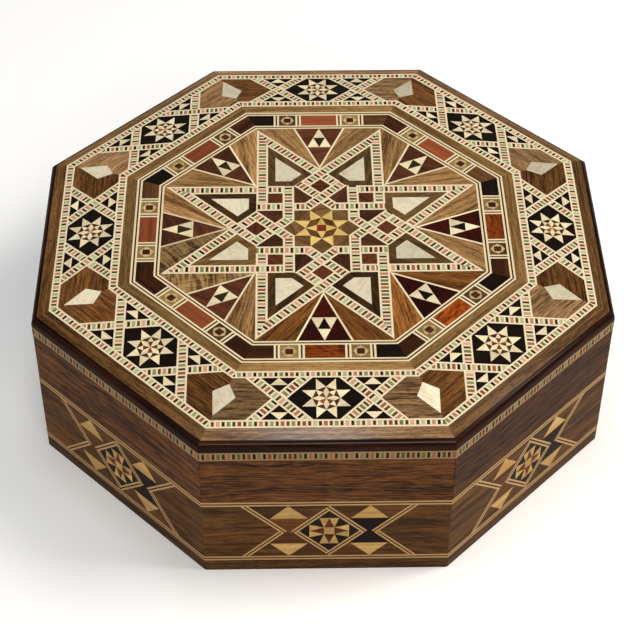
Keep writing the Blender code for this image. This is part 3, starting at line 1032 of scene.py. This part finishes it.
# rings turned from a profile: the rounded lid frame and the mosaic strip under the rim
ringPlan = {
    "rounding": 3.5,
    "roundSteps": 10,
    "flatFrom": 0.94,  # the z of a face's normal from which it counts as top of the frame; below it the rounding takes the dark edge colour, partly painted shade
    "glossFrom": 0.7,
    "sharpFrom": 25.0,  # degrees
    # wood and tone of each side's board of the lid frame; the front board's tone is partly painted
    # sheen
    "woods": ("frameWalnut", "frameAmber", "frameAmber", "frameWalnut", "frameWalnut",
              "frameWalnut", "frameAmber", "frameAmber"),
    "tones": (0.8, 0.1, 0.0, 0.6, 1.3, 0.8, 0.3, 0.1),
    "stripLow": 70.3,
}


def turnRing(profile):
    ring = newBoard()
    corners = [ring.verts.new((apothem / math.cos(halfStep), 0.0, height))
               for apothem, height in profile]
    edges = [ring.edges.new(pair) for pair in zip(corners, corners[1:] + corners[:1])]
    bmesh.ops.spin(ring, geom=corners + edges, cent=(0, 0, 0), axis=(0, 0, 1),
                   angle=2 * math.pi, steps=8, use_merge=True)
    bmesh.ops.rotate(ring, verts=ring.verts, cent=(0, 0, 0),
                     matrix=Matrix.Rotation(halfStep, 3, "Z"))
    bmesh.ops.recalc_face_normals(ring, faces=ring.faces)
    return ring


def layRing(ring, pick, tones=None):
    # pick tells the wood, and what v is, from a side's number, the distance out and the height
    grain = ring.loops.layers.uv["grain"]
    tone = ring.faces.layers.float["tone"]
    woods = []
    for face in ring.faces:
        middle = face.calc_center_median()
        k = sideOf(middle.x, middle.y)[0]
        finish, key, across = pick(k, face)
        if finish not in woods:
            woods.append(finish)
        face.material_index = woods.index(finish)
        luck, shift = boardLuck(key)
        face[tone] = tones[k] if tones else luck.random()
        for loop in face.loops:
            x, y = turned((loop.vert.co.x, loop.vert.co.y), -sideAngles[k])
            loop[grain].uv = (y + shift, across(x, loop.vert.co.z))
    return woods


def makeRings():
    plan = ringPlan
    apothem, radius = boxSize["apothem"], plan["rounding"]
    inner = boxSize["frameStart"]
    slope = boxSize["frameFall"] / (apothem - inner)
    leanX, leanZ = slope / math.hypot(1, slope), 1 / math.hypot(1, slope)
    centreX = apothem - radius
    centreZ = topHeight(centreX) - radius * math.hypot(1, slope)
    profile = [(inner, topHeight(inner))]
    for step in range(plan["roundSteps"] + 1):
        share = math.pi / 2 * step / plan["roundSteps"]
        x = leanX * math.cos(share) + math.sin(share)
        z = leanZ * math.cos(share)
        length = math.hypot(x, z)
        profile.append((centreX + radius * x / length, centreZ + radius * z / length))
    profile += [(apothem, boxSize["lidUnder"]), (inner, boxSize["lidUnder"])]
    ring = turnRing(profile)

    def framePick(k, face):
        if face.normal.z > plan["flatFrom"]:
            return plan["woods"][k], f"frame {k}", lambda x, z: x - z
        # the rounding is a dark stain darkened further to nearly black as painted shade, and
        # shines at the front where it is least worn
        finish = "edgeGloss" if k == 0 and face.normal.z > plan["glossFrom"] else "edgeStain"
        return finish, f"frame edge {k}", lambda x, z: x - z

    woods = layRing(ring, framePick, plan["tones"])
    placePiece(ring, "lid_frame", woods,
               math.radians(plan["sharpFrom"]))

    strip = [(apothem, boxSize["rim"]), (apothem, plan["stripLow"]),
             (apothem - boxSize["sheet"], plan["stripLow"]),
             (apothem - boxSize["sheet"], boxSize["rim"])]
    ring = turnRing(strip)
    height = boxSize["rim"] - plan["stripLow"]
    woods = layRing(ring, lambda k, face: (
        "sideMosaic", f"side strip {k}", lambda x, z: (z - plan["stripLow"]) / height))
    placePiece(ring, "side_mosaic_strip", woods)


makeRings()
print("rings made")

# sides: a mitred walnut board, with a sheet of diamonds and chevrons let into it
sidePlan = {
    "rounding": 0.35,  # of the wall's long outer edges
    "baseTop": 6.5,
    "lineTop": 9.0,
    "bandTop": 41.7,
    "sheetTop": 44.2,
    "diamond": 15.9,
    "lineWidth": 2.3,
    "arm": [(4.1, 8.3), (-4.1, 8.3), (-2.2, 2.2), (2.2, 2.2)],  # one of the diamond's four arms
    "capHalf": 7.9,  # half the length of a pale triangle
    "capShift": 0.2,
    "chevron": 17.8,  # middle of the side to the outer points of the chevrons
    "chevronSlope": 0.975,
    "shift": {0: 1.1, 7: -1.0},  # hand-laid patterns stand a little off the middle
    "wallTones": (0.4, -0.1, 0.4, 0.6, 0.6, 0.6, 0.4, 0.35),
}


def sideShapes():
    # one quarter, round the middle of the band
    plan = sidePlan
    high = (plan["bandTop"] - plan["lineTop"]) / 2
    wide = plan["diamond"]
    slant = math.hypot(high, wide)
    shrink = 1 - plan["lineWidth"] * slant / (high * wide)
    innerWide, innerHigh = wide * shrink, high * shrink
    run = high * plan["chevronSlope"]
    lineRun = plan["lineWidth"] * math.hypot(1, plan["chevronSlope"])
    apex = plan["chevron"]
    far = apex + run
    cap = [(far / 2 + plan["capShift"], high), (far / 2 - plan["capHalf"], high / 2),
           (far / 2 + plan["capHalf"], high / 2)]
    return high, wide, innerWide, innerHigh, apex, run, lineRun, cap


def makeSheet(k):
    plan = sidePlan
    high, wide, innerWide, innerHigh, apex, run, lineRun, cap = sideShapes()
    half = boxSize["apothem"] * math.tan(halfStep)
    low, top = plan["baseTop"], plan["sheetTop"]
    middle = (plan["lineTop"] + plan["bandTop"]) / 2
    shift = plan["shift"].get(k, 0.0)
    reach = half + 2  # the board is drawn too long, and its ends are drawn in below
    board = newBoard([(-reach, low - middle), (reach, low - middle), (reach, top - middle),
                      (-reach, top - middle)])
    for level in (-high, high):
        drawLine(board, (-reach, level), (reach, level))
    right, lowLeft, lowRight = (plan["arm"][n] for n in (0, 2, 3))
    hub, armEnd = lowRight[0], (0, right[1])
    red, pale = [armEnd, lowLeft, lowRight], [armEnd, lowRight, right]
    for sx in (1, -1):
        for sy in (1, -1):
            drawLine(board, (0, sy * high), (sx * wide, 0))
            drawLine(board, (0, sy * innerHigh), (sx * innerWide, 0))
            drawLine(board, (sx * apex, 0), (sx * (apex + run), sy * high))
            drawLine(board, (sx * (apex + lineRun), 0), (sx * (apex + lineRun + run), sy * high))
            drawShape(board, [(sx * x, sy * y) for x, y in cap])
    for n in range(4):
        drawShape(board, [turned(point, quarter * n) for point in plan["arm"]])
        for end in (lowLeft, lowRight):
            drawLine(board, turned(armEnd, quarter * n), turned(end, quarter * n))

    def pick(x, y):
        side, up = abs(x), abs(y)
        name = f"{k} {x > 0} {y > 0}"
        if up > high:
            base = high if y > 0 else low - middle
            width = top - plan["bandTop"] if y > 0 else plan["lineTop"] - low
            return wood("sideLines", 0.0, f"rule {name}", (0, base), width)
        if side / wide + up / high < 1:
            if side / innerWide + up / innerHigh > 1:
                # lines run along the diamond's own edges
                edge = math.atan2(high, wide)
                angle = -edge if (x > 0) == (y > 0) else edge
                origin = (0, innerHigh) if y > 0 else (0, -high)
                return wood("sideLines", angle, f"diamond {name}", origin, plan["lineWidth"])
            if side < hub and up < hub:
                return wood("sideCream", 0.3, f"middle {k}")
            for n in range(4):
                px, py = turned((x, y), -quarter * n)
                if within(px, py, red):
                    return wood("sideRed", quarter * n, f"arm {k} {n}")
                if within(abs(px), py, pale):
                    return wood("sideCream", quarter * n, f"pale {k} {n} {px > 0}")
            return wood("sideBlack", 0.0, f"diamond ground {k}")
        depth = side - apex - up * run / high
        if depth > lineRun:
            return wood("endWalnut", 0.0, f"end {k} {x > 0}")
        if depth > 0:
            edge = math.atan2(high, run)
            rising = (x > 0) == (y > 0)
            angle = edge if rising else -edge
            if x > 0:
                origin = (apex + lineRun, 0) if rising else (apex, 0)
            else:
                origin = (-apex, 0) if rising else (-apex - lineRun, 0)
            return wood("sideLines", angle, f"chevron {name}", origin, plan["lineWidth"])
        if within(side, up, cap):
            return wood("sideCream", 0.0, f"cap {name}")
        if up < high / 2:
            return wood("neckBlack" if x > 0 else "neckBrown", 0.0, f"neck {name}")
        inner = "inner" if side < apex else "outer"
        return wood("besideBrown", 0.0, f"beside {name} {inner}")

    woods = layVeneer(board, pick)
    thicken(board)
    bmesh.ops.translate(board, verts=board.verts, vec=(shift, 0, 0))
    for vert in board.verts:
        limit = (boxSize["apothem"] + vert.co.z) * math.tan(halfStep)
        vert.co.x = max(-limit, min(limit, vert.co.x))
    bmesh.ops.translate(board, verts=board.verts, vec=(0, middle, boxSize["apothem"]))
    stand(board, k)
    placePiece(board, f"side_marquetry_{k + 1}", woods)


def stand(board, k):
    # what was drawn on the flat, y upwards and z outwards, turns to face the way side k does
    matrix = Matrix.Rotation(eighth * k, 4, "Z") @ Matrix.Rotation(quarter, 4, "X")
    bmesh.ops.transform(board, matrix=matrix, verts=board.verts)


def makeWall(k):
    plan = sidePlan
    outer = boxSize["apothem"]
    inner, recess = outer - boxSize["wall"], outer - boxSize["sheet"]
    section = [(inner, 0), (outer, 0), (outer, plan["baseTop"]), (recess, plan["baseTop"]),
               (recess, plan["sheetTop"]), (outer, plan["sheetTop"]),
               (outer, ringPlan["stripLow"]), (recess, ringPlan["stripLow"]),
               (recess, boxSize["rim"]), (inner, boxSize["rim"])]
    wall = newBoard()
    half = outer * math.tan(halfStep) + 1  # a little too long, before the mitres are cut
    ends = [wall.verts.new((-half, z, x)) for x, z in section]
    start = wall.faces.new(ends)
    made = bmesh.ops.extrude_face_region(wall, geom=[start])
    bmesh.ops.translate(wall, verts=[item for item in made["geom"]
                                     if isinstance(item, bmesh.types.BMVert)],
                        vec=(2 * half, 0, 0))
    for end in (-1, 1):
        normal = Vector((end * math.cos(halfStep), 0, -math.sin(halfStep)))
        cut = bmesh.ops.bisect_plane(wall, geom=wall.verts[:] + wall.edges[:] + wall.faces[:],
                                     plane_co=(0, 0, 0), plane_no=normal, clear_outer=True)
        rim = [item for item in cut["geom_cut"] if isinstance(item, bmesh.types.BMEdge)]
        bmesh.ops.edgenet_fill(wall, edges=rim)
    bmesh.ops.recalc_face_normals(wall, faces=wall.faces)
    near = 0.01
    corners = [edge for edge in wall.edges
               if all(vert.co.z > outer - near for vert in edge.verts)
               and abs(edge.verts[0].co.x - edge.verts[1].co.x) < near]
    bmesh.ops.bevel(wall, geom=corners, offset=plan["rounding"], segments=2, profile=0.5,
                    affect="EDGES", material=-1)

    grain = wall.loops.layers.uv["grain"]
    tone = wall.faces.layers.float["tone"]
    for face in wall.faces:
        middle = face.calc_center_median()
        base = middle.y < plan["baseTop"]
        face.material_index = 1 if base else 0
        luck, shift = boardLuck(f"wall {k} {base}")
        lift = luck.uniform(0, 400)
        face[tone] = luck.random() if base else plan["wallTones"][k]
        for loop in face.loops:
            spot = loop.vert.co
            loop[grain].uv = (spot.x + shift, spot.y + spot.z + lift)
    stand(wall, k)
    placePiece(wall, f"wall_board_{k + 1}", ["wallWalnut", "baseWalnut"])


for sector in range(8):
    makeWall(sector)
    makeSheet(sector)
print("sides made")

# the plain boards inside keep their CAD shape
for node in ("bottom_board", "lid_board"):
    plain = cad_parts[node]
    for holder in plain.material_slots:
        holder.material = finishes["plainWood"]

# floor, light and camera
stagePlan = {
    "floorSize": 6.0,
    "floorColour": (250, 249, 247),
    "floorGlow": 0.2,  # a pale sheet lit from below, so the shadow stays soft
    "worldColour": (240, 239, 236),
    "worldStrength": 0.12,
    # name, place, width and depth, watts, colour
    "lights": (
        ("keyLight", (1.2, 0.05, 1.4), (0.8, 0.8), 24.0, (255, 250, 242)),
        ("overheadLight", (-0.01, 0.1, 1.35), (0.36, 0.44), 3.4, (228, 242, 255)),
        ("fillLight", (-1.2, -0.5, 1.2), (1.6, 1.4), 6.0, (250, 249, 250)),
        ("frontLight", (0.3, -1.35, 1.15), (0.9, 0.5), 7.0, (255, 250, 243)),
    ),
    "camera": (-0.014123, -0.610258, 0.622039),
    "cameraTurn": (-1.282, 45.726, 0.329),
    "lens": 102.545,
}


def makeStage():
    plan = stagePlan
    ground = bmesh.new()
    bmesh.ops.create_grid(ground, x_segments=1, y_segments=1, size=plan["floorSize"] / 2)
    mesh = bpy.data.meshes.new("floor")
    ground.to_mesh(mesh)
    ground.free()
    floor = bpy.data.objects.new("floor", mesh)
    bpy.context.scene.collection.objects.link(floor)
    recipe = Recipe("paper")
    place = recipe.node("ShaderNodeTexCoord", output=3)
    speck = recipe.noise(recipe.node("ShaderNodeMapping", sockets={
        "Vector": place, "Scale": (40, 40, 40)}), 4.0)
    colour = recipe.mix(speck, tint(plan["floorColour"]),
                        tint(tuple(c - 3 for c in plan["floorColour"])))
    recipe.feed("Base Color", colour)
    recipe.feed("Roughness", 0.9)
    recipe.feed("Emission Color", tint(plan["floorColour"]))
    recipe.feed("Emission Strength", plan["floorGlow"])
    mesh.materials.append(recipe.material)

    world = bpy.data.worlds.new("studio")
    world.use_nodes = True
    bpy.context.scene.world = world
    background = world.node_tree.nodes["Background"]
    background.inputs["Color"].default_value = tint(plan["worldColour"])
    background.inputs["Strength"].default_value = plan["worldStrength"]
    for name, place, size, energy, colour in plan["lights"]:
        lamp = bpy.data.lights.new(name, "AREA")
        lamp.shape = "RECTANGLE"
        lamp.size, lamp.size_y = size
        lamp.energy = energy
        lamp.color = tint(colour)[:3]
        holder = bpy.data.objects.new(name, lamp)
        holder.location = place
        aim = Vector((0, 0, 0.05)) - Vector(place)
        holder.rotation_euler = aim.to_track_quat("-Z", "Y").to_euler()
        bpy.context.scene.collection.objects.link(holder)

    lens = bpy.data.cameras.new("camera")
    lens.lens = plan["lens"]
    lens.sensor_width = 36.0
    lens.clip_start = 0.01
    camera = bpy.data.objects.new("camera", lens)
    last, tilt, roll = [math.radians(a) for a in plan["cameraTurn"]]
    camera.matrix_world = (Matrix.Translation(plan["camera"]) @ Matrix.Rotation(last, 4, "Z")
                           @ Matrix.Rotation(tilt, 4, "X") @ Matrix.Rotation(roll, 4, "Z"))
    bpy.context.scene.collection.objects.link(camera)
    bpy.context.scene.camera = camera
    bpy.context.scene.view_settings.view_transform = "Standard"


makeStage()
print("stage made")
